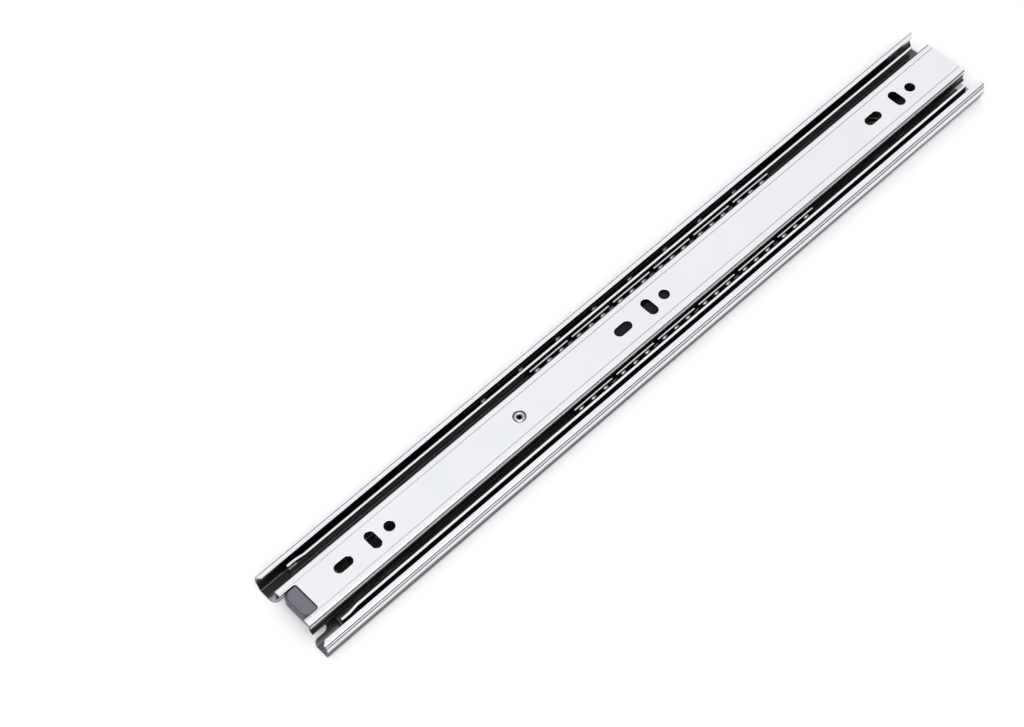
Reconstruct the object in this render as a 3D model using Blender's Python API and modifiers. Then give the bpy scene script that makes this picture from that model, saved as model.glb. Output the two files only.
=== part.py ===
"""Three-section ball-bearing drawer slide, shut, lying on its cabinet face.

+X is the way the drawer pulls out and +Z points at the drawer. The origin is the centre of the
base. The section of each rolled member is given as (y, z, bend radius) points along the middle
line of the sheet, on the +Y side only, and is mirrored for the other side.
"""

import math

import bmesh
import bpy
from mathutils import Matrix, Vector

MM = 0.001

# Overall
REAR = -200 * MM
FRONT = 200 * MM
SHEET = 1.0 * MM
CAGE_SHEET = 0.55 * MM
OVERRUN = 2.0 * MM
ARC_SEGMENTS = 4
HOLE_SEGMENTS = 16

# Cabinet member
CABINET_PATH = [
    (15.0, 0.5, 0), (15.4, 0.7, 0), (21.15, 0.7, 1.2), (21.15, 2.5, 0), (21.75, 3.8, 0), (22.2, 5.1, 0),
    (22.3, 6.3, 0), (22.2, 7.5, 0), (21.8, 8.7, 0), (21.35, 9.6, 0), (21.6, 10.95, 0.6), (19.5, 10.95, 0),
]
CABINET_HOLE_R = 2.4 * MM
CABINET_SLOT = (9.0 * MM, 4.5 * MM)
CABINET_HOLES = (-182, -125, -61, -29, 99, 163, 191)
CABINET_SLOTS = (-157, -141, -93, -77, 67, 83, 131, 147)
TONGUE_HOLES = (-125, -61, 99, 163)
TONGUE_AHEAD = 9.4 * MM
TONGUE_BACK = 23.6 * MM
TONGUE_HALF_WIDTH = 7.9 * MM
TONGUE_CUT = 1.8 * MM
TONGUE_END_CUT = 3.1 * MM
TONGUE_CORNER_R = 3.0 * MM
REAR_NOTCH_DEPTH = 8.9 * MM
REAR_NOTCH_HALF = 12.0 * MM
STOP_TAB_X = 192 * MM
STOP_TAB_SIZE = (3.6 * MM, 6.2 * MM)
STOP_TAB_Y = 16.3 * MM
STOP_TAB_TILT = math.radians(12)

# Intermediate member
MIDDLE_REAR = REAR + 12.8 * MM
MIDDLE_FRONT = REAR + 394 * MM
MIDDLE_PATH = [
    (16.85, 3.3, 1.2), (16.75, 4.9, 0), (16.4, 6.1, 0), (16.4, 7.8, 0), (16.15, 9.1, 0), (16.25, 10.3, 0),
]
MIDDLE_OPENINGS = (-150, -85, 75, 139)
MIDDLE_OPENING = (36 * MM, 13 * MM)
MIDDLE_STOP_X = 192.1 * MM
MIDDLE_STOP_Y = -3.2 * MM
MIDDLE_STOP_SIZE = (1.0 * MM, 4.4 * MM, 3.2 * MM)

# Drawer member
DRAWER_REAR = REAR + 1.2 * MM
DRAWER_FRONT = REAR + 399 * MM
DRAWER_PATH = [
    (7.7, 12.2, 0), (8.0, 12.0, 0), (8.4, 12.2, 0), (10.8, 12.2, 0.7), (10.8, 10.4, 0), (10.5, 8.8, 0),
    (10.43, 7.5, 0), (10.55, 6.3, 0), (11.45, 5.35, 0),
]
DRAWER_HOLE_R = 2.5 * MM
DRAWER_SLOT = (9.2 * MM, 4.8 * MM)
DRAWER_HOLES = (-146, 14, 174)
DRAWER_CROSS_SLOTS = (-155, 5, 165)
DRAWER_LONG_SLOTS = (-171, -11, 149)
DRAWER_NOTCH_DEPTH = 8.1 * MM
DRAWER_NOTCH_HALF = 7.5 * MM

# Balls and their cages
BALL_R = 2.15 * MM
BALL_CLEARANCE = 0.3 * MM
INNER_BALL_Y, INNER_BALL_Z = 13.4 * MM, 7.5 * MM
OUTER_BALL_Y, OUTER_BALL_Z = 19.35 * MM, 6.3 * MM
INNER_CAGE_PATH = [(13.6, 4.35, 0.8), (13.6, 11.0, 0)]
INNER_CAGE_REAR = REAR + 146.4 * MM
INNER_SEGMENTS = 6
INNER_SEGMENT_PITCH = 25.0 * MM
INNER_SEGMENT_GAP = 2.7 * MM
INNER_BALL_PITCH = 7.2 * MM
OUTER_CAGE_PATH = [(19.35, 2.25, 0.8), (19.35, 9.3, 0)]
OUTER_CAGE_REAR = REAR + 113 * MM
OUTER_CAGE_LENGTH = 176 * MM
OUTER_BALLS = 8

# Release lever and its rivet
RIVET_X = REAR + 127.4 * MM
RIVET_HEAD_R = 2.7 * MM
RIVET_SHANK_R = 1.7 * MM
RIVET_BORE_R = 1.0 * MM
LEVER_TOP = 11.3 * MM
LEVER_BOTTOM = 8.0 * MM
LEVER_HUB_R = 5.2 * MM
LEVER_HOOK_X = -4.0 * MM
LEVER_TIP_X = 28 * MM

# Rear bumper
BUMPER_REAR = REAR + 2.8 * MM
BUMPER_STOP_FRONT = REAR + 8.9 * MM
BUMPER_HALF = 9.2 * MM
BUMPER_FOOT_FRONT = REAR + 27 * MM
BUMPER_BOSS_X = REAR + 21 * MM
BUMPER_BOSS_R = 2.2 * MM

ZINC = ("zinc_plated_steel", (0.80, 0.81, 0.83, 1), 1.0, 0.28)
CAGE_ZINC = ("cage_steel", (0.66, 0.67, 0.69, 1), 1.0, 0.35)
BALL_STEEL = ("bearing_steel", (0.85, 0.85, 0.86, 1), 1.0, 0.10)
GREY_PLASTIC = ("grey_plastic", (0.15, 0.14, 0.18, 1), 0.0, 0.50)
BLACK_PLASTIC = ("black_plastic", (0.02, 0.02, 0.02, 1), 0.0, 0.45)

for old in list(bpy.data.objects):
    bpy.data.objects.remove(old)

slide_collection = bpy.data.collections.new("drawer_slide")
cutter_collection = bpy.data.collections.new("cutters")
bpy.context.scene.collection.children.link(slide_collection)
bpy.context.scene.collection.children.link(cutter_collection)


def material(settings):
    """The Principled material of these settings, made once."""
    name, colour, metallic, roughness = settings
    made = bpy.data.materials.get(name)
    if made is None:
        made = bpy.data.materials.new(name)
        made.use_nodes = True
        shader = made.node_tree.nodes["Principled BSDF"]
        shader.inputs["Base Color"].default_value = colour
        shader.inputs["Metallic"].default_value = metallic
        shader.inputs["Roughness"].default_value = roughness
        made.diffuse_color = colour
    return made


def add_object(name, bm, settings=None):
    """An object from this bmesh: a visible piece with a material, or else a cutter."""
    bmesh.ops.recalc_face_normals(bm, faces=bm.faces)
    if bm.calc_volume(signed=True) < 0:
        bmesh.ops.reverse_faces(bm, faces=bm.faces)
    mesh = bpy.data.meshes.new(name)
    bm.to_mesh(mesh)
    bm.free()
    made = bpy.data.objects.new(name, mesh)
    if settings:
        slide_collection.objects.link(made)
        mesh.materials.append(material(settings))
    else:
        cutter_collection.objects.link(made)
        made.hide_render = True
        made.display_type = "WIRE"
    return made


def boolean(target, other, operation):
    modifier = target.modifiers.new(operation.lower() + "_" + other.name, "BOOLEAN")
    modifier.operation = operation
    modifier.solver = "EXACT"
    modifier.object = other


def corner_arc(before, corner, after, radius):
    """The points that round this corner of a line, or the corner itself for a radius of 0."""
    before, corner, after = Vector(before), Vector(corner), Vector(after)
    if not radius:
        return [corner]
    to_before, to_after = (before - corner).normalized(), (after - corner).normalized()
    half_angle = to_before.angle(to_after) / 2
    centre = corner + (to_before + to_after).normalized() * radius / math.sin(half_angle)
    start = (corner + to_before * radius / math.tan(half_angle) - centre).normalized()
    end = (corner + to_after * radius / math.tan(half_angle) - centre).normalized()
    return [centre + start.slerp(end, k / ARC_SEGMENTS) * radius for k in range(ARC_SEGMENTS + 1)]


def bent_path(half):
    """(y, z) points of the whole section, each corner with a radius turned into an arc."""
    points = []
    for i, (y, z, radius) in enumerate(half):
        before = half[i - 1][:2] if i else (0, z)
        after = half[i + 1][:2] if i + 1 < len(half) else (y, z)
        points += corner_arc(before, (y, z), after, radius)
    right = [(y * MM, z * MM) for y, z in points]
    return [(-y, z) for y, z in reversed(right)] + right


def rolled(name, half, x_start, x_end, sheet, settings):
    """A sheet-metal channel with this section: a ribbon drawn along X, then thickened."""
    bm = bmesh.new()
    line = [bm.verts.new((x_start, y, z)) for y, z in bent_path(half)]
    edges = [bm.edges.new(pair) for pair in zip(line, line[1:])]
    grown = bmesh.ops.extrude_edge_only(bm, edges=edges)["geom"]
    far = [v for v in grown if isinstance(v, bmesh.types.BMVert)]
    bmesh.ops.translate(bm, verts=far, vec=(x_end - x_start, 0, 0))
    made = add_object(name, bm, settings)
    solidify = made.modifiers.new("sheet", "SOLIDIFY")
    solidify.thickness = sheet
    solidify.offset = 0
    solidify.use_even_offset = True
    return made


def add_plate(bm, outline, z_start, z_end):
    """A flat plate of this (x, y) outline between two heights."""
    face = bm.faces.new([bm.verts.new((x, y, z_start)) for x, y in outline])
    grown = bmesh.ops.extrude_face_region(bm, geom=[face])["geom"]
    top = [v for v in grown if isinstance(v, bmesh.types.BMVert)]
    bmesh.ops.translate(bm, verts=top, vec=(0, 0, z_end - z_start))


def add_box(bm, x, y, z):
    """A box spanning these three (low, high) pairs."""
    outline = [(x[0], y[0]), (x[1], y[0]), (x[1], y[1]), (x[0], y[1])]
    add_plate(bm, outline, z[0], z[1])


def add_slot(bm, centre_x, length, width, z_start, z_end, along_y=False):
    """A round-ended slot through the sheet; a round hole where length equals width."""
    radius = width / 2
    reach = length / 2 - radius
    outline = []
    for side in (1, -1):
        for k in range(HOLE_SEGMENTS // 2 + 1):
            turn = math.pi * k / (HOLE_SEGMENTS // 2) - math.pi / 2
            outline.append((side * (reach + radius * math.cos(turn)), side * radius * math.sin(turn)))
    if not reach:
        outline = outline[: HOLE_SEGMENTS // 2] + outline[HOLE_SEGMENTS // 2 + 1 : -1]
    if along_y:
        outline = [(-y, x) for x, y in outline]
    add_plate(bm, [(x + centre_x, y) for x, y in outline], z_start, z_end)


def rounded_outline(corners):
    """(x, y) points of a polygon whose corners, (x, y, radius), are rounded."""
    outline = []
    for i, (x, y, radius) in enumerate(corners):
        after = corners[(i + 1) % len(corners)][:2]
        outline += corner_arc(corners[i - 1][:2], (x, y), after, radius)
    return outline


def add_cylinder(bm, radius, centre, depth, axis="Z", segments=HOLE_SEGMENTS):
    turn = Matrix.Rotation(math.radians(90), 4, "X") if axis == "Y" else Matrix.Identity(4)
    bmesh.ops.create_cone(
        bm, cap_ends=True, segments=segments, radius1=radius, radius2=radius, depth=depth,
        matrix=Matrix.Translation(centre) @ turn,
    )


# Cabinet member: the outer channel, screwed to the cabinet side through its web
cabinet = rolled("cabinet_member", CABINET_PATH, REAR, FRONT, SHEET, ZINC)
web_cut = (-OVERRUN, SHEET + OVERRUN)

bm = bmesh.new()
for x in CABINET_HOLES:
    add_slot(bm, x * MM, 2 * CABINET_HOLE_R, 2 * CABINET_HOLE_R, *web_cut)
for x in CABINET_SLOTS:
    add_slot(bm, x * MM, *CABINET_SLOT, *web_cut)
boolean(cabinet, add_object("cabinet_screw_holes", bm), "DIFFERENCE")

bm = bmesh.new()
for x in TONGUE_HOLES:
    tip, root = x * MM + TONGUE_AHEAD, x * MM - TONGUE_BACK
    outer, inner = TONGUE_HALF_WIDTH + TONGUE_CUT, TONGUE_HALF_WIDTH
    add_plate(bm, rounded_outline([
        (root, -outer, 0), (tip, -outer, TONGUE_CORNER_R), (tip, outer, TONGUE_CORNER_R), (root, outer, 0),
        (root, inner, 0), (tip - TONGUE_END_CUT, inner, MM), (tip - TONGUE_END_CUT, -inner, MM),
        (root, -inner, 0),
    ]), *web_cut)
boolean(cabinet, add_object("cabinet_tongue_cuts", bm), "DIFFERENCE")

bm = bmesh.new()
notch_front = REAR + REAR_NOTCH_DEPTH
add_plate(bm, rounded_outline([
    (REAR - OVERRUN, -REAR_NOTCH_HALF - 4 * MM, 0), (REAR, -REAR_NOTCH_HALF - 2.5 * MM, 0),
    (REAR + MM, -REAR_NOTCH_HALF, 2 * MM), (notch_front, -REAR_NOTCH_HALF, 2.6 * MM),
    (notch_front, REAR_NOTCH_HALF, 2.6 * MM), (REAR + MM, REAR_NOTCH_HALF, 2 * MM),
    (REAR, REAR_NOTCH_HALF + 2.5 * MM, 0), (REAR - OVERRUN, REAR_NOTCH_HALF + 4 * MM, 0),
]), *web_cut)
for side in (1, -1):
    half_x = STOP_TAB_SIZE[0] / 2 + 0.4 * MM
    reach = sorted((side * (STOP_TAB_Y - 3.4 * MM), side * (STOP_TAB_Y + 2.2 * MM)))
    add_box(bm, (STOP_TAB_X - half_x, STOP_TAB_X + half_x), reach, web_cut)
boolean(cabinet, add_object("cabinet_notch_and_windows", bm), "DIFFERENCE")

bm = bmesh.new()
for side in (1, -1):
    for end, inward in ((REAR, 1), (FRONT, -1)):
        add_plate(bm, [
            (end - inward * OVERRUN, side * 18.0 * MM), (end + inward * 2.6 * MM, side * 18.0 * MM),
            (end - inward * 0.6 * MM, side * 22.0 * MM), (end - inward * OVERRUN, side * 22.0 * MM),
        ], 10.2 * MM, 12.5 * MM)
boolean(cabinet, add_object("cabinet_lip_corners", bm), "DIFFERENCE")

bm = bmesh.new()
for side in (1, -1):
    placed = Matrix.Translation((STOP_TAB_X, side * STOP_TAB_Y, 1.42 * MM))
    tilted = placed @ Matrix.Rotation(-side * STOP_TAB_TILT, 4, "X")
    size = Matrix.Diagonal((*STOP_TAB_SIZE, 0.9 * MM, 1))
    bmesh.ops.create_cube(bm, size=1, matrix=tilted @ size)
boolean(cabinet, add_object("cabinet_stop_tabs", bm), "UNION")

# Intermediate member: the channel that carries both ball rows
middle = rolled("intermediate_member", MIDDLE_PATH, MIDDLE_REAR, MIDDLE_FRONT, SHEET, ZINC)
bm = bmesh.new()
for x in MIDDLE_OPENINGS:
    add_slot(bm, x * MM, *MIDDLE_OPENING, 2 * MM, 5 * MM)
add_slot(bm, BUMPER_BOSS_X, 2 * BUMPER_BOSS_R + 0.6 * MM, 2 * BUMPER_BOSS_R + 0.6 * MM, 2 * MM, 5 * MM)
boolean(middle, add_object("intermediate_openings", bm), "DIFFERENCE")
bm = bmesh.new()
half_x, half_y = MIDDLE_STOP_SIZE[0] / 2, MIDDLE_STOP_SIZE[1] / 2
add_box(
    bm, (MIDDLE_STOP_X - half_x, MIDDLE_STOP_X + half_x),
    (MIDDLE_STOP_Y - half_y, MIDDLE_STOP_Y + half_y), (3.1 * MM, 3.1 * MM + MIDDLE_STOP_SIZE[2]),
)
boolean(middle, add_object("intermediate_stop", bm), "UNION")

# Drawer member: the innermost channel, screwed to the drawer side
drawer = rolled("drawer_member", DRAWER_PATH, DRAWER_REAR, DRAWER_FRONT, SHEET, ZINC)
drawer_cut = (9.5 * MM, 14 * MM)
bm = bmesh.new()
for x in DRAWER_HOLES:
    add_slot(bm, x * MM, 2 * DRAWER_HOLE_R, 2 * DRAWER_HOLE_R, *drawer_cut)
for x in DRAWER_CROSS_SLOTS:
    add_slot(bm, x * MM, *DRAWER_SLOT, *drawer_cut, along_y=True)
for x in DRAWER_LONG_SLOTS:
    add_slot(bm, x * MM, *DRAWER_SLOT, *drawer_cut)
add_cylinder(bm, RIVET_SHANK_R + 0.3 * MM, (RIVET_X, 0, 11.8 * MM), 4 * MM)
boolean(drawer, add_object("drawer_holes", bm), "DIFFERENCE")
bm = bmesh.new()
add_cylinder(bm, RIVET_HEAD_R + 0.3 * MM, (RIVET_X, 0, 13.05 * MM), 2 * MM)
notch_front = DRAWER_REAR + DRAWER_NOTCH_DEPTH
add_plate(bm, rounded_outline([
    (DRAWER_REAR - OVERRUN, -DRAWER_NOTCH_HALF, 0), (notch_front, -DRAWER_NOTCH_HALF, 1.2 * MM),
    (notch_front, DRAWER_NOTCH_HALF, 1.2 * MM), (DRAWER_REAR - OVERRUN, DRAWER_NOTCH_HALF, 0),
]), *drawer_cut)
boolean(drawer, add_object("drawer_notch_and_countersink", bm), "DIFFERENCE")

# Ball cages: thin channels with a window for every ball
inner_balls = []
for segment in range(INNER_SEGMENTS):
    middle_x = INNER_CAGE_REAR + segment * INNER_SEGMENT_PITCH
    middle_x += (INNER_SEGMENT_PITCH - INNER_SEGMENT_GAP) / 2
    inner_balls += [middle_x + step * INNER_BALL_PITCH for step in (-1, 0, 1)]
inner_front = INNER_CAGE_REAR + INNER_SEGMENTS * INNER_SEGMENT_PITCH - INNER_SEGMENT_GAP
outer_pitch = OUTER_CAGE_LENGTH / OUTER_BALLS
outer_balls = [OUTER_CAGE_REAR + (k + 0.5) * outer_pitch for k in range(OUTER_BALLS)]
outer_front = OUTER_CAGE_REAR + OUTER_CAGE_LENGTH

inner_cage = rolled(
    "inner_ball_retainer", INNER_CAGE_PATH, INNER_CAGE_REAR, inner_front, CAGE_SHEET, CAGE_ZINC
)
bm = bmesh.new()
for x in inner_balls:
    centre = (x, 0, INNER_BALL_Z)
    add_cylinder(bm, BALL_R + BALL_CLEARANCE, centre, 40 * MM, axis="Y", segments=10)
boolean(inner_cage, add_object("inner_ball_windows", bm), "DIFFERENCE")
bm = bmesh.new()
for k in range(1, INNER_SEGMENTS):
    end = INNER_CAGE_REAR + k * INNER_SEGMENT_PITCH
    add_box(bm, (end - INNER_SEGMENT_GAP, end), (-20 * MM, 20 * MM), (7.6 * MM, 13 * MM))
for k in range(INNER_SEGMENTS):
    centre_x = INNER_CAGE_REAR + k * INNER_SEGMENT_PITCH + 11.2 * MM
    add_box(bm, (centre_x - 8 * MM, centre_x + 8 * MM), (-8.5 * MM, 8.5 * MM), (3.5 * MM, 5.2 * MM))
boolean(inner_cage, add_object("inner_cage_notches", bm), "DIFFERENCE")

outer_cage = rolled(
    "outer_ball_retainer", OUTER_CAGE_PATH, OUTER_CAGE_REAR, outer_front, CAGE_SHEET, CAGE_ZINC
)
bm = bmesh.new()
for x in outer_balls:
    centre = (x, 0, OUTER_BALL_Z)
    add_cylinder(bm, BALL_R + BALL_CLEARANCE, centre, 50 * MM, axis="Y", segments=10)
    add_box(bm, (x - 8 * MM, x + 8 * MM), (-13 * MM, 13 * MM), (1.5 * MM, 3.0 * MM))
boolean(outer_cage, add_object("outer_ball_windows", bm), "DIFFERENCE")

rows = [
    ("inner_ball_a", inner_balls, INNER_BALL_Y, INNER_BALL_Z),
    ("inner_ball_b", inner_balls, -INNER_BALL_Y, INNER_BALL_Z),
    ("outer_ball_a", outer_balls, OUTER_BALL_Y, OUTER_BALL_Z),
    ("outer_ball_b", outer_balls, -OUTER_BALL_Y, OUTER_BALL_Z),
]
for name, places, y, z in rows:
    for number, x in enumerate(places, 1):
        bm = bmesh.new()
        bmesh.ops.create_uvsphere(
            bm, u_segments=10, v_segments=6, radius=BALL_R, matrix=Matrix.Translation((x, y, z))
        )
        ball = add_object(f"{name}_{number:02d}", bm, BALL_STEEL)
        ball.data.shade_smooth()

# Release lever: moulded plastic under the drawer member's web, turning on the rivet
lever_thick = (LEVER_BOTTOM, LEVER_TOP)
bm = bmesh.new()
add_plate(bm, rounded_outline([
    (RIVET_X - 2 * MM, -3.2 * MM, 0), (LEVER_HOOK_X, -3.6 * MM, 0), (LEVER_TIP_X, -2.6 * MM, 1.5 * MM),
    (LEVER_TIP_X, 2.6 * MM, 1.5 * MM), (LEVER_HOOK_X, 3.0 * MM, 0), (RIVET_X - 2 * MM, 3.2 * MM, 0),
]), *lever_thick)
lever = add_object("release_lever", bm, BLACK_PLASTIC)
bm = bmesh.new()
add_cylinder(bm, LEVER_HUB_R, (RIVET_X, 0, (LEVER_BOTTOM + LEVER_TOP) / 2), LEVER_TOP - LEVER_BOTTOM, segments=24)
boolean(lever, add_object("lever_hub", bm), "UNION")
bm = bmesh.new()
add_box(bm, (LEVER_HOOK_X - 5 * MM, LEVER_HOOK_X), (-5.0 * MM, -1.0 * MM), (5.2 * MM, 10.5 * MM))
boolean(lever, add_object("lever_hook", bm), "UNION")
bm = bmesh.new()
add_plate(bm, [
    (RIVET_X - 2.0 * MM, -4.6 * MM), (RIVET_X - 30 * MM, -7.8 * MM), (RIVET_X - 30.2 * MM, -6.5 * MM),
    (RIVET_X - 2.4 * MM, -3.2 * MM),
], 8.6 * MM, 10.8 * MM)
boolean(lever, add_object("lever_spring_arm", bm), "UNION")
bm = bmesh.new()
add_cylinder(bm, RIVET_SHANK_R + 0.3 * MM, (RIVET_X, 0, 9.6 * MM), 8 * MM)
boolean(lever, add_object("lever_pivot_hole", bm), "DIFFERENCE")

# Lever rivet: a tubular rivet, its rolled head flush in the drawer member's web
bm = bmesh.new()
profile = [
    (0, 10.2), (RIVET_BORE_R / MM, 10.6), (RIVET_BORE_R / MM, 12.5), (1.4, 12.7), (2.4, 12.7), (2.7, 12.55),
    (2.7, 12.4), (RIVET_SHANK_R / MM, 12.3), (RIVET_SHANK_R / MM, 7.7), (2.9, 7.7), (2.9, 7.1), (0, 6.8),
]
line = [bm.verts.new((radius * MM, 0, z * MM)) for radius, z in profile]
edges = [bm.edges.new(pair) for pair in zip(line, line[1:])]
bmesh.ops.spin(
    bm, geom=line + edges, cent=(0, 0, 0), axis=(0, 0, 1), angle=math.tau, steps=20, use_merge=True
)
bmesh.ops.remove_doubles(bm, verts=bm.verts, dist=1e-6)
bmesh.ops.translate(bm, verts=bm.verts, vec=(RIVET_X, 0, 0))
rivet = add_object("lever_rivet", bm, ZINC)
rivet.data.shade_smooth()

# Rear bumper: moulded plastic clipped on the intermediate member's web, stopping the drawer member
bm = bmesh.new()
add_plate(bm, rounded_outline([
    (BUMPER_REAR, -BUMPER_HALF, 3 * MM), (REAR + 12.3 * MM, -BUMPER_HALF, 0),
    (REAR + 12.3 * MM, BUMPER_HALF, 0), (BUMPER_REAR, BUMPER_HALF, 3 * MM),
]), 2.9 * MM, 9.6 * MM)
bumper = add_object("rear_bumper", bm, GREY_PLASTIC)
bm = bmesh.new()
add_plate(bm, rounded_outline([
    (BUMPER_REAR, -6.9 * MM, 3 * MM), (BUMPER_STOP_FRONT, -6.9 * MM, 0),
    (BUMPER_STOP_FRONT, 6.9 * MM, 0), (BUMPER_REAR, 6.9 * MM, 3 * MM),
]), 9.0 * MM, 12.1 * MM)
boolean(bumper, add_object("bumper_stop_block", bm), "UNION")
bm = bmesh.new()
add_box(bm, (REAR + 11 * MM, BUMPER_FOOT_FRONT), (-8.0 * MM, 8.0 * MM), (4.1 * MM, 5.8 * MM))
boolean(bumper, add_object("bumper_foot", bm), "UNION")
bm = bmesh.new()
add_cylinder(bm, BUMPER_BOSS_R, (BUMPER_BOSS_X, 0, 3.9 * MM), 2.0 * MM)
boolean(bumper, add_object("bumper_boss", bm), "UNION")
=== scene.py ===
import math

import bmesh
import bpy
from mathutils import Matrix, Vector


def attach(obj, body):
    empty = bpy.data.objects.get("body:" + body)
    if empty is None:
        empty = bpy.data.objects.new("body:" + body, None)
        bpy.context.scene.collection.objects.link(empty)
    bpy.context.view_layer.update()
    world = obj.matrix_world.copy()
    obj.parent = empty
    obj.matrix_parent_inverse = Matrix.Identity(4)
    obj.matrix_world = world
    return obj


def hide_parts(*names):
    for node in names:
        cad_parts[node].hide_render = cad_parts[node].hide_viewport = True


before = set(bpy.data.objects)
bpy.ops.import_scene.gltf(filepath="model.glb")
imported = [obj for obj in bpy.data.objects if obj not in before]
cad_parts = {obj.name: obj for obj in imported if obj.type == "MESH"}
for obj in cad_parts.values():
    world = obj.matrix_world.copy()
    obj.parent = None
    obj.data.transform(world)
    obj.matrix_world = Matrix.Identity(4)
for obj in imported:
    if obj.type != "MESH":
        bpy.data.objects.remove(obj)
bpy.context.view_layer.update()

# Studio: a pale table under a wide white softbox. The room is darker towards the horizon, so
# that rolled steel shows its folds as soft grey bands.
MM = 0.001
TABLE_HALF = 1.5
TABLE_TOP = -0.1 * MM
TABLE_COLOUR = (0.90, 0.90, 0.905, 1)
SENSOR_WIDTH = 36.0
LENS = 78.62
CAMERA_AT = Vector((-377.95, -378.46, 815.2)) * MM
CAMERA_RIGHT = Vector((0.724125, -0.687658, -0.052617))
CAMERA_AHEAD = Vector((0.337321, 0.419687, -0.842661))
SKY_STEPS = [
    (0.0, 0.17), (0.090, 0.17), (0.130, 1.0), (0.28, 1.0), (0.36, 0.03), (0.62, 0.03), (0.72, 0.9), (1.0, 1.0),
]
SKY_STRENGTH = 1.06

scene = bpy.context.scene
scene.view_settings.view_transform = "Standard"
scene.view_settings.look = "None"

ahead = CAMERA_AHEAD.normalized()
right = (CAMERA_RIGHT - ahead * CAMERA_RIGHT.dot(ahead)).normalized()
up = right.cross(ahead)
camera_data = bpy.data.cameras.new("studio_camera")
camera_data.sensor_width = SENSOR_WIDTH
camera_data.lens = LENS
camera_data.clip_start = 0.01
camera = bpy.data.objects.new("studio_camera", camera_data)
scene.collection.objects.link(camera)
camera.matrix_world = Matrix.Translation(CAMERA_AT) @ Matrix((right, up, -ahead)).transposed().to_4x4()
scene.camera = camera

world = bpy.data.worlds.new("studio_sky")
world.use_nodes = True
scene.world = world
sky = world.node_tree
direction = sky.nodes.new("ShaderNodeTexCoord")
height = sky.nodes.new("ShaderNodeSeparateXYZ")
lifted = sky.nodes.new("ShaderNodeMapRange")
lifted.inputs["From Min"].default_value = -1
lifted.inputs["From Max"].default_value = 1
fade = sky.nodes.new("ShaderNodeValToRGB")
while len(fade.color_ramp.elements) < len(SKY_STEPS):
    fade.color_ramp.elements.new(0.5)
for element, (place, value) in zip(fade.color_ramp.elements, SKY_STEPS):
    element.position = place
    element.color = (value, value, value * 1.01, 1)
sky.links.new(direction.outputs["Generated"], height.inputs[0])
sky.links.new(height.outputs["Z"], lifted.inputs["Value"])
sky.links.new(lifted.outputs[0], fade.inputs["Fac"])
sky.links.new(fade.outputs["Color"], sky.nodes["Background"].inputs["Color"])
sky.nodes["Background"].inputs["Strength"].default_value = SKY_STRENGTH

bm = bmesh.new()
bmesh.ops.create_grid(bm, x_segments=1, y_segments=1, size=TABLE_HALF, matrix=Matrix.Translation((0, 0, TABLE_TOP)))
table_mesh = bpy.data.meshes.new("table")
bm.to_mesh(table_mesh)
bm.free()
table = bpy.data.objects.new("table", table_mesh)
scene.collection.objects.link(table)
table_paint = bpy.data.materials.new("table_paint")
table_paint.use_nodes = True
table_paint.node_tree.nodes["Principled BSDF"].inputs["Base Color"].default_value = TABLE_COLOUR
table_paint.node_tree.nodes["Principled BSDF"].inputs["Roughness"].default_value = 0.9
table_mesh.materials.append(table_paint)
table.visible_glossy = False

softbox_data = bpy.data.lights.new("softbox", "AREA")
softbox_data.shape = "RECTANGLE"
softbox_data.size = 1.6
softbox_data.size_y = 1.2
softbox_data.energy = 14
softbox = bpy.data.objects.new("softbox", softbox_data)
scene.collection.objects.link(softbox)
softbox.location = (-0.5, -0.7, 1.5)
softbox.rotation_euler = (Vector((0, 0, 0)) - softbox.location).to_track_quat("-Z", "Y").to_euler()


# Cabinet member: 1 mm cold-rolled strip, roll-formed into a channel with a ball race in each
# flange and a rolled-in lip, punched and lanced in its web, then bright zinc plated.
SHEET = 1.0 * MM
REAR, FRONT = -200 * MM, 200 * MM
BEYOND = 3 * MM
CABINET_FOLDS = [
    (15.0, 0.5, 0), (15.4, 0.7, 0), (21.15, 0.7, 1.0), (21.15, 2.5, 0.4), (21.75, 3.8, 0.5),
    (22.2, 5.1, 0.5), (22.3, 6.3, 0.5), (22.2, 7.5, 0.5), (21.85, 8.7, 0.4), (21.4, 9.5, 0),
    (21.75, 9.9, 0), (21.6, 10.95, 0.6), (19.5, 10.95, 0),
]
CABINET_HOLES = (-182, -125, -61, -29, 99, 163, 191)
CABINET_SLOTS = (-157, -141, -93, -77, 67, 83, 131, 147)
TONGUE_HOLES = (-125, -61, 99, 163)
TONGUE_BACK, TONGUE_AHEAD = 23.6, 9.4
TONGUE_HALF, TONGUE_CUT, TONGUE_END_CUT = 7.9, 1.8, 3.1
TONGUE_BENDS = ((-23.3, 0), (-21.0, 0.5), (4.2, 0.5), (6.35, 0.85))
STOP_TAB_X, STOP_TAB_Y = 192 * MM, 16.3 * MM
STOP_TAB_SIZE = (3.6 * MM, 6.2 * MM, 0.9 * MM)
STOP_TAB_TILT = math.radians(12)
LIP_EDGE, LIP_CORNER = 19.5 * MM, 1.8 * MM
PUNCHED_EDGE = 0.12 * MM

zinc_looks = {
    "member": ((0.76, 0.79, 0.87, 1), (0.90, 0.89, 0.87, 1), 0.17, 0.27, 0.10),
}


def node_material(name):
    made = bpy.data.materials.new(name)
    made.use_nodes = True
    return made, made.node_tree.nodes, made.node_tree.links, made.node_tree.nodes["Principled BSDF"]


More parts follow.
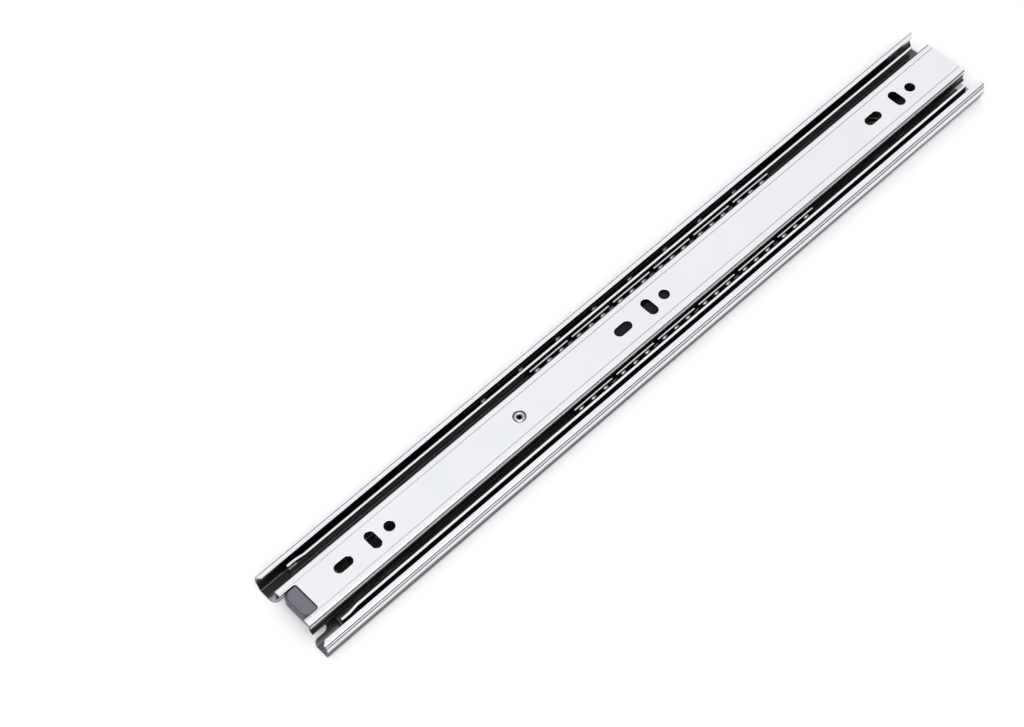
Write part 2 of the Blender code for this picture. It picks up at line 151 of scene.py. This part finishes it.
def steel_finish(name, cool, warm, low_rough, high_rough, grain, metallic=1.0):
    """Plated or bare steel: a faint cloudy tint, and rolling lines along X in gloss and relief."""
    made, nodes, links, shader = node_material(name)
    shader.inputs["Metallic"].default_value = metallic
    place = nodes.new("ShaderNodeTexCoord")
    clouds = nodes.new("ShaderNodeTexNoise")
    clouds.inputs["Scale"].default_value = 55
    clouds.inputs["Detail"].default_value = 9
    clouds.inputs["Roughness"].default_value = 0.68
    tint = nodes.new("ShaderNodeMix")
    tint.data_type = "RGBA"
    tint.inputs["A"].default_value = cool
    tint.inputs["B"].default_value = warm
    stretched = nodes.new("ShaderNodeMapping")
    stretched.inputs["Scale"].default_value = (90, 2200, 2200)
    lines = nodes.new("ShaderNodeTexNoise")
    lines.inputs["Scale"].default_value = 1
    lines.inputs["Detail"].default_value = 2
    gloss = nodes.new("ShaderNodeMapRange")
    gloss.inputs["To Min"].default_value = low_rough
    gloss.inputs["To Max"].default_value = high_rough
    relief = nodes.new("ShaderNodeBump")
    relief.inputs["Strength"].default_value = grain
    relief.inputs["Distance"].default_value = 0.05 * MM
    links.new(place.outputs["Object"], clouds.inputs["Vector"])
    links.new(clouds.outputs["Fac"], tint.inputs["Factor"])
    links.new(tint.outputs["Result"], shader.inputs["Base Color"])
    links.new(place.outputs["Object"], stretched.inputs["Vector"])
    links.new(stretched.outputs["Vector"], lines.inputs["Vector"])
    links.new(lines.outputs["Fac"], gloss.inputs["Value"])
    links.new(gloss.outputs["Result"], shader.inputs["Roughness"])
    links.new(lines.outputs["Fac"], relief.inputs["Height"])
    links.new(relief.outputs["Normal"], shader.inputs["Normal"])
    return made


def add_piece(name, bm, finish=None):
    """An object at the origin from this bmesh; without a finish it is a cutter, removed after use."""
    bmesh.ops.recalc_face_normals(bm, faces=bm.faces)
    if bm.calc_volume(signed=True) < 0:
        bmesh.ops.reverse_faces(bm, faces=bm.faces)
    mesh = bpy.data.meshes.new(name)
    bm.to_mesh(mesh)
    bm.free()
    made = bpy.data.objects.new(name, mesh)
    scene.collection.objects.link(made)
    if finish:
        mesh.materials.append(finish)
    return made


def folded_strip(folds, x_rear, x_front):
    """A ribbon with this half section, mirrored across Y and drawn along X, its folds rounded."""
    bm = bmesh.new()
    whole = [(-y, z, r) for y, z, r in reversed(folds)] + list(folds)
    rear_line = [bm.verts.new((x_rear, y * MM, z * MM)) for y, z, r in whole]
    for pair in zip(rear_line, rear_line[1:]):
        bm.edges.new(pair)
    grown = bmesh.ops.extrude_edge_only(bm, edges=bm.edges[:])["geom"]
    front_line = [v for v in grown if isinstance(v, bmesh.types.BMVert)]
    bmesh.ops.translate(bm, verts=front_line, vec=(x_front - x_rear, 0, 0))
    for y, z, offset in whole:
        if not offset:
            continue
        fold = [
            e for e in bm.edges
            if all(abs(v.co.y - y * MM) < 1e-6 and abs(v.co.z - z * MM) < 1e-6 for v in e.verts)
        ]
        bmesh.ops.bevel(
            bm, geom=fold, offset=offset * MM, segments=5, profile=0.5, affect="EDGES", material=-1
        )
    return bm


def add_plate(bm, outline, low, high):
    """A flat plate between two heights, from an (x, y) outline in metres."""
    face = bm.faces.new([bm.verts.new((x, y, low)) for x, y in outline])
    grown = bmesh.ops.extrude_face_region(bm, geom=[face])["geom"]
    top = [v for v in grown if isinstance(v, bmesh.types.BMVert)]
    bmesh.ops.translate(bm, verts=top, vec=(0, 0, high - low))


def round_upright_edges(bm, verts_at, offset, segments=6):
    """Rounds the upright edges of a plate that stand at these (x, y) places."""
    edges = [
        e for e in bm.edges
        if abs(e.verts[0].co.z - e.verts[1].co.z) > 1e-6
        and any(abs(e.verts[0].co.x - x) < 1e-6 and abs(e.verts[0].co.y - y) < 1e-6 for x, y in verts_at)
        and abs(e.verts[0].co.x - e.verts[1].co.x) < 1e-6
    ]
    bmesh.ops.bevel(bm, geom=edges, offset=offset, segments=segments, profile=0.5, affect="EDGES", material=-1)


def add_slot(bm, x, length, width, low, high, along_y=False):
    """A round-ended slot centred on y = 0; a round hole where length equals width."""
    radius, reach = width / 2, (length - width) / 2
    shift = (0, reach) if along_y else (reach, 0)
    ends = [(x + shift[0], shift[1]), (x - shift[0], -shift[1])] if reach else [(x, 0)]
    made = bmesh.ops.create_cone(
        bm, cap_ends=True, segments=32, radius1=radius, radius2=radius, depth=high - low,
        matrix=Matrix.Translation((x, 0, (low + high) / 2)),
    )["verts"]
    if reach:
        axis = 1 if along_y else 0
        middle = (x, 0)[axis]
        for v in made:
            side = v.co[axis] - middle
            if abs(side) < 1e-7:
                continue
            v.co[axis] += math.copysign(reach, side)


def add_box(bm, low, high):
    centre = (Vector(low) + Vector(high)) / 2
    size = Vector(high) - Vector(low)
    bmesh.ops.create_cube(bm, size=1, matrix=Matrix.Translation(centre) @ Matrix.Diagonal((*size, 1)))


def press_in(piece, bends, reach):
    """Presses tongues inwards: bends are (x, lift) pairs along each one, straight between them."""
    bm = bmesh.new()
    bm.from_mesh(piece.data)
    for x, _ in bends:
        web = [f for f in bm.faces if all(v.co.z < 1.3 * MM for v in f.verts)]
        parts = {*web, *(e for f in web for e in f.edges), *(v for f in web for v in f.verts)}
        bmesh.ops.bisect_plane(bm, geom=list(parts), plane_co=(x, 0, 0), plane_no=(1, 0, 0))
    for v in bm.verts:
        if abs(v.co.y) > reach:
            continue
        for (x_a, lift_a), (x_b, lift_b) in zip(bends, bends[1:]):
            if x_a <= v.co.x <= x_b:
                v.co.z += lift_a + (lift_b - lift_a) * (v.co.x - x_a) / (x_b - x_a)
                break
    bm.to_mesh(piece.data)
    bm.free()


def round_rims(piece, heights):
    """Rounds the punched edges that lie in the flat faces at these heights, away from the sheared ends."""
    bm = bmesh.new()
    bm.from_mesh(piece.data)
    ends = [v.co.x for v in bm.verts]
    first, last = min(ends) + 0.05 * MM, max(ends) - 0.05 * MM
    rims = [
        e for e in bm.edges
        if any(all(abs(v.co.z - z * MM) < 1e-6 for v in e.verts) for z in heights)
        and first < (e.verts[0].co.x + e.verts[1].co.x) / 2 < last
        and len(e.link_faces) == 2 and e.calc_face_angle() > math.radians(60)
    ]
    bmesh.ops.bevel(
        bm, geom=rims, offset=PUNCHED_EDGE, segments=2, profile=0.5, affect="EDGES", material=-1
    )
    bm.to_mesh(piece.data)
    bm.free()


def shape_piece(piece, sheet, cutters=(), joined=(), edge=0, rims=(), pressed=()):
    """Thickens a ribbon, joins and cuts, rounds the sheared edges, and keeps the result as the mesh."""
    if sheet:
        thicken = piece.modifiers.new("sheet", "SOLIDIFY")
        thicken.thickness = sheet
        thicken.offset = 0
        thicken.use_even_offset = True
    for operation, others in (("UNION", joined), ("DIFFERENCE", cutters)):
        for other in others:
            cut = piece.modifiers.new(other.name, "BOOLEAN")
            cut.operation = operation
            cut.solver = "EXACT"
            cut.object = other
    if edge:
        soften = piece.modifiers.new("sheared_edge", "BEVEL")
        soften.limit_method = "ANGLE"
        soften.angle_limit = math.radians(40)
        soften.width = edge
        soften.segments = 3
    apply_modifiers(piece)
    for other in (*cutters, *joined):
        bpy.data.objects.remove(other)
    if rims:
        round_rims(piece, rims)
    if pressed:
        press_in(piece, pressed, (TONGUE_HALF + 0.05) * MM)
    piece.data.shade_smooth()
    piece.data.set_sharp_from_angle(angle=math.radians(20))
    level = piece.modifiers.new("flat_faces", "WEIGHTED_NORMAL")
    level.weight = 100
    level.keep_sharp = True
    apply_modifiers(piece)


def apply_modifiers(piece):
    """Keeps what the modifiers show as the piece's own mesh."""
    graph = bpy.context.evaluated_depsgraph_get()
    shaped = bpy.data.meshes.new_from_object(piece.evaluated_get(graph))
    old = piece.data
    piece.modifiers.clear()
    piece.data = shaped
    bpy.data.meshes.remove(old)
    shaped.name = piece.name


def paint(piece, finish, picks):
    """Gives this finish to the faces chosen by picks from x, |y|, z in mm and the outward and upward normal."""
    piece.data.materials.append(finish)
    for face in piece.data.polygons:
        x, y, z = face.center / MM
        if picks(x, abs(y), z, face.normal.y * math.copysign(1, y), face.normal.z):
            face.material_index = len(piece.data.materials) - 1


member_zinc = steel_finish("member_zinc", *zinc_looks["member"])
# Painted shade: two dark zinc materials, a grey one and a near-black one, stand in for the shade inside the channels,
# under overlapping members and in the gaps between them.
zinc_painted_shade = steel_finish("zinc_painted_shade", (0.30, 0.31, 0.33, 1), (0.44, 0.44, 0.44, 1), 0.22, 0.34, 0.08)
deep_painted_shade = steel_finish("deep_painted_shade", (0.085, 0.086, 0.09, 1), (0.15, 0.15, 0.152, 1), 0.24, 0.38, 0.05)

bm = bmesh.new()
for x in CABINET_HOLES:
    add_slot(bm, x * MM, 4.9 * MM, 4.9 * MM, -BEYOND, BEYOND)
for x in CABINET_SLOTS:
    add_slot(bm, x * MM, 9.0 * MM, 4.5 * MM, -BEYOND, BEYOND)
for x in TONGUE_HOLES:
    tip, root = (x + TONGUE_AHEAD) * MM, (x - TONGUE_BACK) * MM
    outer, inner = (TONGUE_HALF + TONGUE_CUT) * MM, TONGUE_HALF * MM
    inner_tip = tip - TONGUE_END_CUT * MM
    add_plate(bm, [
        (root, -outer), (tip, -outer), (tip, outer), (root, outer),
        (root, inner), (inner_tip, inner), (inner_tip, -inner), (root, -inner),
    ], -BEYOND, BEYOND)
    round_upright_edges(bm, [(tip, -outer), (tip, outer)], 3.0 * MM)
    round_upright_edges(bm, [(inner_tip, -inner), (inner_tip, inner)], 1.0 * MM)
    round_upright_edges(bm, [(root, y) for y in (-outer, -inner, inner, outer)], 0.8 * MM, 4)
notch_front = REAR + 8.9 * MM
add_plate(bm, [
    (REAR - BEYOND, -22.4 * MM), (REAR + 1.0 * MM, -12 * MM), (notch_front, -12 * MM),
    (notch_front, -1.6 * MM), (notch_front + 0.9 * MM, -1.6 * MM), (notch_front + 0.9 * MM, 1.6 * MM),
    (notch_front, 1.6 * MM), (notch_front, 12 * MM), (REAR + 1.0 * MM, 12 * MM), (REAR - BEYOND, 22.4 * MM),
], -BEYOND, BEYOND)
round_upright_edges(bm, [(REAR + 1.0 * MM, -12 * MM), (REAR + 1.0 * MM, 12 * MM)], 1.6 * MM)
round_upright_edges(bm, [(notch_front, -12 * MM), (notch_front, 12 * MM)], 2.6 * MM)
for side in (1, -1):
    y_low, y_high = sorted((side * (STOP_TAB_Y - 3.4 * MM), side * (STOP_TAB_Y + 2.2 * MM)))
    add_box(bm, (STOP_TAB_X - 2.2 * MM, y_low, -BEYOND), (STOP_TAB_X + 2.2 * MM, y_high, BEYOND))
web_cuts = add_piece("cabinet_web_cuts", bm)

bm = folded_strip(CABINET_FOLDS, REAR, FRONT)
for v in bm.verts:
    if abs(v.co.y) < LIP_EDGE + 0.1 * MM and v.co.z > 10 * MM:
        v.co.x -= math.copysign(LIP_CORNER, v.co.x)
cabinet_channel = add_piece("cabinet_channel", bm, member_zinc)
shape_piece(cabinet_channel, SHEET, cutters=(web_cuts,), rims=(0,),
            pressed=[((x + along) * MM, lift * MM) for x in TONGUE_HOLES for along, lift in TONGUE_BENDS])
# Painted shade: the channel floor is painted darker, and it is darkest beside the flanges and on the flanges' inner
# faces along the ball gaps.
paint(cabinet_channel, zinc_painted_shade, lambda x, y, z, out, up: up > 0.4 and z < 2.4)
paint(cabinet_channel, deep_painted_shade, lambda x, y, z, out, up: (
    (y > 15.2 and up > 0.4 and z < 2.4) or (y > 18 and out < -0.2 and 1.1 < z < 10.4)
))
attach(cabinet_channel, "cabinet")
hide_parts("cabinet_member")

bm = bmesh.new()
for side in (1, -1):
    tilted = Matrix.Translation((STOP_TAB_X, side * STOP_TAB_Y, 1.42 * MM))
    tilted = tilted @ Matrix.Rotation(-side * STOP_TAB_TILT, 4, "X")
    bmesh.ops.create_cube(bm, size=1, matrix=tilted @ Matrix.Diagonal((*STOP_TAB_SIZE, 1)))
stop_tabs = add_piece("cabinet_stop_tabs", bm, member_zinc)
shape_piece(stop_tabs, 0, edge=0.1 * MM)
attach(stop_tabs, "cabinet")


# Intermediate member: the middle channel of the same strip, a ball race on each side of both
# flanges. Its web is punched with openings that let a screwdriver reach the cabinet screws.
MIDDLE_REAR, MIDDLE_FRONT = REAR + 12.8 * MM, REAR + 394 * MM
MIDDLE_FOLDS = [
    (12.0, 3.3, 0), (16.85, 3.3, 1.0), (16.75, 4.9, 0.3), (16.4, 6.1, 0.5), (16.4, 7.8, 0.6), (16.15, 9.1, 0.4),
    (16.25, 10.3, 0),
]
MIDDLE_OPENINGS = (-150, -85, 75, 139)
FLARE_X, FLARE = (REAR + 17.0 * MM, REAR + 21.5 * MM), 0.65 * MM

bm = bmesh.new()
for x in MIDDLE_OPENINGS:
    add_slot(bm, x * MM, 36 * MM, 13 * MM, 2 * MM, 5 * MM)
add_slot(bm, REAR + 21 * MM, 5 * MM, 5 * MM, 2 * MM, 5 * MM)
access_openings = add_piece("access_openings", bm)
bm = folded_strip(MIDDLE_FOLDS, MIDDLE_REAR, MIDDLE_FRONT)
for x in FLARE_X:
    bmesh.ops.bisect_plane(bm, geom=bm.verts[:] + bm.edges[:] + bm.faces[:], plane_co=(x, 0, 0), plane_no=(1, 0, 0))
for v in bm.verts:
    if v.co.x < FLARE_X[0] + 0.1 * MM and v.co.z > 8.5 * MM:
        v.co.y += math.copysign(FLARE, v.co.y)
middle_channel = add_piece("intermediate_channel", bm, member_zinc)
bm = bmesh.new()
add_box(bm, (191.6 * MM, -5.4 * MM, 3.1 * MM), (192.6 * MM, -1.0 * MM, 6.3 * MM))
catch_tab = add_piece("catch_tab", bm)
shape_piece(middle_channel, SHEET, cutters=(access_openings,), joined=(catch_tab,), rims=(3.8,))
# Painted shade: the web is painted darker. The flanges below their tips, the undersides and the walls of the web's
# openings are painted darkest.
paint(middle_channel, zinc_painted_shade, lambda x, y, z, out, up: z < 4)
paint(middle_channel, deep_painted_shade, lambda x, y, z, out, up: z < 10.15 and (y > 12 or up < -0.4 or (z < 3.75 and up < 0.4)))
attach(middle_channel, "intermediate")
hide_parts("intermediate_member")


# Drawer member: the innermost channel, screwed to the drawer through its face. A shallow
# rolled groove runs along each side of the face, and the rear end is notched for the bumper.
DRAWER_REAR, DRAWER_FRONT = REAR + 1.2 * MM, REAR + 399 * MM
DRAWER_FOLDS = [
    (7.7, 12.2, 0), (8.0, 12.02, 0), (8.3, 12.2, 0), (10.8, 12.2, 0.9), (10.8, 10.4, 0.4),
    (10.5, 8.8, 0.5), (10.43, 7.5, 0.5), (10.55, 6.3, 0.4), (11.45, 5.35, 0),
]
DRAWER_HOLES = (-146, 14, 174)
DRAWER_CROSS_SLOTS = (-155, 5, 165)
DRAWER_LONG_SLOTS = (-171, -11, 149)
RIVET_X = REAR + 127.4 * MM
WEB_CUT = (9.8 * MM, 14 * MM)

bm = bmesh.new()
for x in DRAWER_HOLES:
    add_slot(bm, x * MM, 5.0 * MM, 5.0 * MM, *WEB_CUT)
for x in DRAWER_CROSS_SLOTS:
    add_slot(bm, x * MM, 9.2 * MM, 4.8 * MM, *WEB_CUT, along_y=True)
for x in DRAWER_LONG_SLOTS:
    add_slot(bm, x * MM, 9.2 * MM, 4.8 * MM, *WEB_CUT)
add_slot(bm, RIVET_X, 4.0 * MM, 4.0 * MM, *WEB_CUT)
drawer_holes = add_piece("drawer_holes_cut", bm)
bm = bmesh.new()
add_slot(bm, RIVET_X, 6.0 * MM, 6.0 * MM, 12.2 * MM, 14 * MM)
notch_front = DRAWER_REAR + 8.1 * MM
add_plate(bm, [
    (DRAWER_REAR - BEYOND, -7.5 * MM), (notch_front, -7.5 * MM),
    (notch_front, 7.5 * MM), (DRAWER_REAR - BEYOND, 7.5 * MM),
], *WEB_CUT)
round_upright_edges(bm, [(notch_front, -7.5 * MM), (notch_front, 7.5 * MM)], 1.2 * MM)
drawer_notch = add_piece("drawer_notch", bm)
drawer_channel = add_piece("drawer_channel", folded_strip(DRAWER_FOLDS, DRAWER_REAR, DRAWER_FRONT), member_zinc)
shape_piece(drawer_channel, SHEET, cutters=(drawer_holes, drawer_notch), rims=(12.7,))
# Painted shade: the flanks below their outer strip, the underside of the face, the walls of its holes and slots and its
# cut ends are painted near-black.
paint(drawer_channel, deep_painted_shade, lambda x, y, z, out, up: (
    z < 9.9 or up < -0.4 or (y < 6 and abs(x) < 180 and z < 12.6 and up < 0.6) or (y < 6 and z < 12.4)
))
# Painted shade along the slopes of the rolled groove in the face.
paint(drawer_channel, zinc_painted_shade, lambda x, y, z, out, up: 7.6 < y < 8.4 and 0.5 < up < 0.99)
# Painted highlight: a pale, non-metallic strip on the upper outer flank stands in for the bright reflection along it.
zinc_painted_highlight = steel_finish("zinc_painted_highlight", (0.90, 0.91, 0.94, 1), (0.96, 0.96, 0.95, 1), 0.5, 0.6, 0.05, metallic=0)
paint(drawer_channel, zinc_painted_highlight, lambda x, y, z, out, up: 9.9 < z < 11.6 and out > 0.8)
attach(drawer_channel, "drawer")
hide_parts("drawer_member")


# Ball rows: hardened steel balls, ground and polished, each held in a window of its cage.
BALL_R = 2.15 * MM
INNER_CAGE_REAR, INNER_PITCH, INNER_GAP = REAR + 146.4 * MM, 25.0 * MM, 2.7 * MM
INNER_SEGMENTS, INNER_BALL_STEP = 6, 7.2 * MM
OUTER_CAGE_REAR, OUTER_CAGE_LENGTH, OUTER_BALLS = REAR + 113 * MM, 176 * MM, 8
INNER_BALLS_X = [
    INNER_CAGE_REAR + k * INNER_PITCH + (INNER_PITCH - INNER_GAP) / 2 + step * INNER_BALL_STEP
    for k in range(INNER_SEGMENTS) for step in (-1, 0, 1)
]
OUTER_BALLS_X = [OUTER_CAGE_REAR + (k + 0.5) * OUTER_CAGE_LENGTH / OUTER_BALLS for k in range(OUTER_BALLS)]
INNER_BALL_Y, INNER_BALL_Z = 13.4 * MM, 7.5 * MM
OUTER_BALL_Y, OUTER_BALL_Z = 19.35 * MM, 6.3 * MM

# Painted shade: the inner balls' steel is painted dark to dim their reflections deep in the races, and the outer balls
# take the near-black painted shade of their gap.
ball_steel = steel_finish("ball_steel", (0.20, 0.20, 0.21, 1), (0.28, 0.28, 0.28, 1), 0.10, 0.18, 0.0)
for name, cad_name, places, y, z, body in (
    ("inner_balls_a", "inner_ball_a", INNER_BALLS_X, INNER_BALL_Y, INNER_BALL_Z, "inner_cage"),
    ("inner_balls_b", "inner_ball_b", INNER_BALLS_X, -INNER_BALL_Y, INNER_BALL_Z, "inner_cage"),
    ("outer_balls_a", "outer_ball_a", OUTER_BALLS_X, OUTER_BALL_Y, OUTER_BALL_Z, "outer_cage"),
    ("outer_balls_b", "outer_ball_b", OUTER_BALLS_X, -OUTER_BALL_Y, OUTER_BALL_Z, "outer_cage"),
):
    bm = bmesh.new()
    for x in places:
        bmesh.ops.create_uvsphere(bm, u_segments=24, v_segments=14, radius=BALL_R, matrix=Matrix.Translation((x, y, z)))
    row = add_piece(name, bm, ball_steel if body == "inner_cage" else deep_painted_shade)
    row.data.shade_smooth()
    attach(row, body)
    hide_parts(*(f"{cad_name}_{k:02d}" for k in range(1, len(places) + 1)))


# Ball cages: thin zinc-plated strip folded into a channel, with a window for every ball. The
# inner cage's sides are cut into short segments of three balls each.
CAGE_SHEET = 0.55 * MM
INNER_CAGE_FOLDS = [(13.6, 4.35, 0.7), (13.6, 11.0, 0)]
OUTER_CAGE_FOLDS = [(19.35, 2.25, 0.7), (19.35, 9.3, 0)]
cage_zinc = steel_finish("cage_zinc", (0.60, 0.61, 0.64, 1), (0.70, 0.70, 0.69, 1), 0.28, 0.42, 0.04)




def window_cutter(name, places, z, length):
    """Round bars across the cage, one through every ball."""
    bm = bmesh.new()
    for x in places:
        bar = Matrix.Translation((x, 0, z)) @ Matrix.Rotation(math.radians(90), 4, "X")
        bmesh.ops.create_cone(
            bm, cap_ends=True, segments=28, radius1=BALL_R + 0.15 * MM, radius2=BALL_R + 0.15 * MM,
            depth=length, matrix=bar,
        )
    return add_piece(name, bm)


inner_front = INNER_CAGE_REAR + INNER_SEGMENTS * INNER_PITCH - INNER_GAP
bm = bmesh.new()
for k in range(1, INNER_SEGMENTS):
    end = INNER_CAGE_REAR + k * INNER_PITCH
    add_box(bm, (end - INNER_GAP, -20 * MM, 7.6 * MM), (end, 20 * MM, 13 * MM))
for k in range(INNER_SEGMENTS):
    x = INNER_CAGE_REAR + k * INNER_PITCH + 11.2 * MM
    add_box(bm, (x - 8 * MM, -8.5 * MM, 3.5 * MM), (x + 8 * MM, 8.5 * MM, 5.2 * MM))
segment_cuts = add_piece("segment_cuts", bm)
inner_cage = add_piece("inner_cage_strip", folded_strip(INNER_CAGE_FOLDS, INNER_CAGE_REAR, inner_front), cage_zinc)
shape_piece(
    inner_cage, CAGE_SHEET,
    cutters=(window_cutter("inner_windows", INNER_BALLS_X, INNER_BALL_Z, 40 * MM), segment_cuts),
)
# Painted shade: the inner cage is painted near-black except for the top edges of its sides.
paint(inner_cage, deep_painted_shade, lambda x, y, z, out, up: up < 0.5 or z < 8)
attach(inner_cage, "inner_cage")
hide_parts("inner_ball_retainer")

bm = bmesh.new()
for x in OUTER_BALLS_X:
    add_box(bm, (x - 8 * MM, -13 * MM, 1.5 * MM), (x + 8 * MM, 13 * MM, 3.0 * MM))
bridge_cuts = add_piece("bridge_cuts", bm)
outer_cage = add_piece(
    "outer_cage_strip",
    folded_strip(OUTER_CAGE_FOLDS, OUTER_CAGE_REAR, OUTER_CAGE_REAR + OUTER_CAGE_LENGTH), cage_zinc,
)
shape_piece(
    outer_cage, CAGE_SHEET,
    cutters=(window_cutter("outer_windows", OUTER_BALLS_X, OUTER_BALL_Z, 50 * MM), bridge_cuts),
)
# Painted shade: the whole outer cage is painted near-black.
paint(outer_cage, deep_painted_shade, lambda x, y, z, out, up: True)
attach(outer_cage, "outer_cage")
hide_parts("outer_ball_retainer")


# Release lever: black moulded plastic under the drawer member's face, with a hook that holds
# the drawer member at full extension, a finger tab in front of it and a spring arm behind.
def moulded_plastic(name, dark, light, rough, grain, specular=0.5):
    """Moulded plastic: a fine spark-eroded grain and faint cloudy shade."""
    made, nodes, links, shader = node_material(name)
    place = nodes.new("ShaderNodeTexCoord")
    clouds = nodes.new("ShaderNodeTexNoise")
    clouds.inputs["Scale"].default_value = 160
    shade = nodes.new("ShaderNodeMix")
    shade.data_type = "RGBA"
    shade.inputs["A"].default_value = dark
    shade.inputs["B"].default_value = light
    pits = nodes.new("ShaderNodeTexNoise")
    pits.inputs["Scale"].default_value = 3500
    relief = nodes.new("ShaderNodeBump")
    relief.inputs["Strength"].default_value = grain
    relief.inputs["Distance"].default_value = 0.05 * MM
    shader.inputs["Roughness"].default_value = rough
    shader.inputs["Specular IOR Level"].default_value = specular
    links.new(place.outputs["Object"], clouds.inputs["Vector"])
    links.new(clouds.outputs["Fac"], shade.inputs["Factor"])
    links.new(shade.outputs["Result"], shader.inputs["Base Color"])
    links.new(place.outputs["Object"], pits.inputs["Vector"])
    links.new(pits.outputs["Fac"], relief.inputs["Height"])
    links.new(relief.outputs["Normal"], shader.inputs["Normal"])
    return made


def round_moulded(bm, offset):
    """Rounds every hard edge of a moulded block."""
    hard = [e for e in bm.edges if e.calc_face_angle() > math.radians(40)]
    bmesh.ops.bevel(bm, geom=hard, offset=offset, segments=3, profile=0.5, affect="EDGES", material=-1)


LEVER_LOW, LEVER_HIGH = 8.0 * MM, 11.3 * MM
HOOK_X, TIP_X = -4 * MM, 28 * MM
lever_black = moulded_plastic("lever_black", (0.006, 0.006, 0.007, 1), (0.012, 0.012, 0.013, 1), 0.5, 0.25, 0.1)
bm = bmesh.new()
add_plate(bm, [
    (RIVET_X - 2 * MM, -3.2 * MM), (HOOK_X, -3.6 * MM), (TIP_X, -2.6 * MM),
    (TIP_X, 2.6 * MM), (HOOK_X, 3.0 * MM), (RIVET_X - 2 * MM, 3.2 * MM),
], LEVER_LOW, LEVER_HIGH)
round_upright_edges(bm, [(TIP_X, -2.6 * MM), (TIP_X, 2.6 * MM)], 1.5 * MM)
round_moulded(bm, 0.25 * MM)
lever = add_piece("lever_arm", bm, lever_black)
bm = bmesh.new()
bmesh.ops.create_cone(
    bm, cap_ends=True, segments=48, radius1=5.2 * MM, radius2=5.2 * MM, depth=LEVER_HIGH - LEVER_LOW,
    matrix=Matrix.Translation((RIVET_X, 0, (LEVER_LOW + LEVER_HIGH) / 2)),
)
round_moulded(bm, 0.25 * MM)
hub = add_piece("lever_hub", bm)
bm = bmesh.new()
add_box(bm, (HOOK_X - 5 * MM, -5.0 * MM, 5.2 * MM), (HOOK_X, -1.0 * MM, 10.5 * MM))
round_moulded(bm, 0.3 * MM)
hook = add_piece("lever_hook", bm)
bm = bmesh.new()
add_plate(bm, [
    (RIVET_X - 2.0 * MM, -4.6 * MM), (RIVET_X - 30 * MM, -7.8 * MM), (RIVET_X - 30.2 * MM, -6.5 * MM),
    (RIVET_X - 2.4 * MM, -3.2 * MM),
], 8.6 * MM, 10.8 * MM)
spring_arm = add_piece("lever_spring_arm", bm)
bm = bmesh.new()
add_slot(bm, RIVET_X, 4.0 * MM, 4.0 * MM, 5 * MM, 13 * MM)
pivot_hole = add_piece("lever_pivot_hole", bm)
shape_piece(lever, 0, cutters=(pivot_hole,), joined=(hub, hook, spring_arm))
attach(lever, "lever")
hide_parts("release_lever")


# Lever rivet: a tubular steel rivet. Its head is rolled outwards into a ring that sits flush in
# the drawer member's face, with the open bore in its middle.
rivet_zinc = steel_finish("rivet_zinc", (0.42, 0.43, 0.46, 1), (0.56, 0.56, 0.55, 1), 0.16, 0.28, 0.05)
RIVET_PROFILE = [
    (0, 7.9), (0.9, 8.1), (1.0, 11.9), (1.15, 12.3), (1.5, 12.62), (1.9, 12.68), (2.4, 12.5), (2.68, 12.15),
    (2.7, 12.1), (1.7, 12.05), (1.7, 7.7), (2.9, 7.7), (2.9, 7.3), (2.2, 6.9), (0, 6.8),
]
bm = bmesh.new()
line = [bm.verts.new((radius * MM, 0, z * MM)) for radius, z in RIVET_PROFILE]
for pair in zip(line, line[1:]):
    bm.edges.new(pair)
bmesh.ops.spin(
    bm, geom=bm.verts[:] + bm.edges[:], cent=(0, 0, 0), axis=(0, 0, 1), angle=math.tau, steps=48, use_merge=True
)
bmesh.ops.remove_doubles(bm, verts=bm.verts, dist=1e-6)
bmesh.ops.translate(bm, verts=bm.verts, vec=(RIVET_X, 0, 0))
rivet = add_piece("rivet_tubular", bm, rivet_zinc)
rivet.data.shade_smooth()
rivet.data.set_sharp_from_angle(angle=math.radians(50))
# Painted shade: the rivet's open bore is painted near-black.
rivet.data.materials.append(deep_painted_shade)
for face in rivet.data.polygons:
    if math.hypot(face.center.x - RIVET_X, face.center.y) < 1.02 * MM and face.center.z > 7.8 * MM:
        face.material_index = 1
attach(rivet, "drawer")
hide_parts("lever_rivet")


# Rear bumper: grey moulded plastic snapped on the intermediate member's rear end. Its tall
# block stops the drawer member's notch, and its rear face meets the cabinet's end stop.
BUMPER_REAR, BUMPER_FRONT = REAR + 2.8 * MM, REAR + 12.3 * MM
bumper_grey = moulded_plastic("bumper_grey", (0.105, 0.095, 0.125, 1), (0.15, 0.14, 0.175, 1), 0.5, 0.2)
bm = bmesh.new()
add_plate(bm, [
    (BUMPER_REAR, -9.2 * MM), (BUMPER_FRONT, -9.2 * MM), (BUMPER_FRONT, 9.2 * MM), (BUMPER_REAR, 9.2 * MM),
], 2.9 * MM, 9.6 * MM)
round_upright_edges(bm, [(BUMPER_REAR, -9.2 * MM), (BUMPER_REAR, 9.2 * MM)], 3 * MM, 10)
bumper = add_piece("bumper_block", bm, bumper_grey)
bm = bmesh.new()
stop_front = REAR + 8.9 * MM
stop_rear = BUMPER_REAR + 0.3 * MM
add_plate(bm, [
    (stop_rear, -6.9 * MM), (stop_front, -6.9 * MM), (stop_front, 6.9 * MM), (stop_rear, 6.9 * MM),
], 9.0 * MM, 12.1 * MM)
round_upright_edges(bm, [(stop_rear, -6.9 * MM), (stop_rear, 6.9 * MM)], 3 * MM, 10)
stop_block = add_piece("bumper_stop", bm)
bm = bmesh.new()
add_box(bm, (REAR + 11 * MM, -8.0 * MM, 4.1 * MM), (REAR + 27 * MM, 8.0 * MM, 5.8 * MM))
foot = add_piece("bumper_foot", bm)
bm = bmesh.new()
add_slot(bm, REAR + 21 * MM, 4.4 * MM, 4.4 * MM, 2.9 * MM, 4.9 * MM)
boss = add_piece("bumper_boss", bm)
shape_piece(bumper, 0, joined=(stop_block, foot, boss), edge=0.15 * MM)
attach(bumper, "intermediate")
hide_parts("rear_bumper")
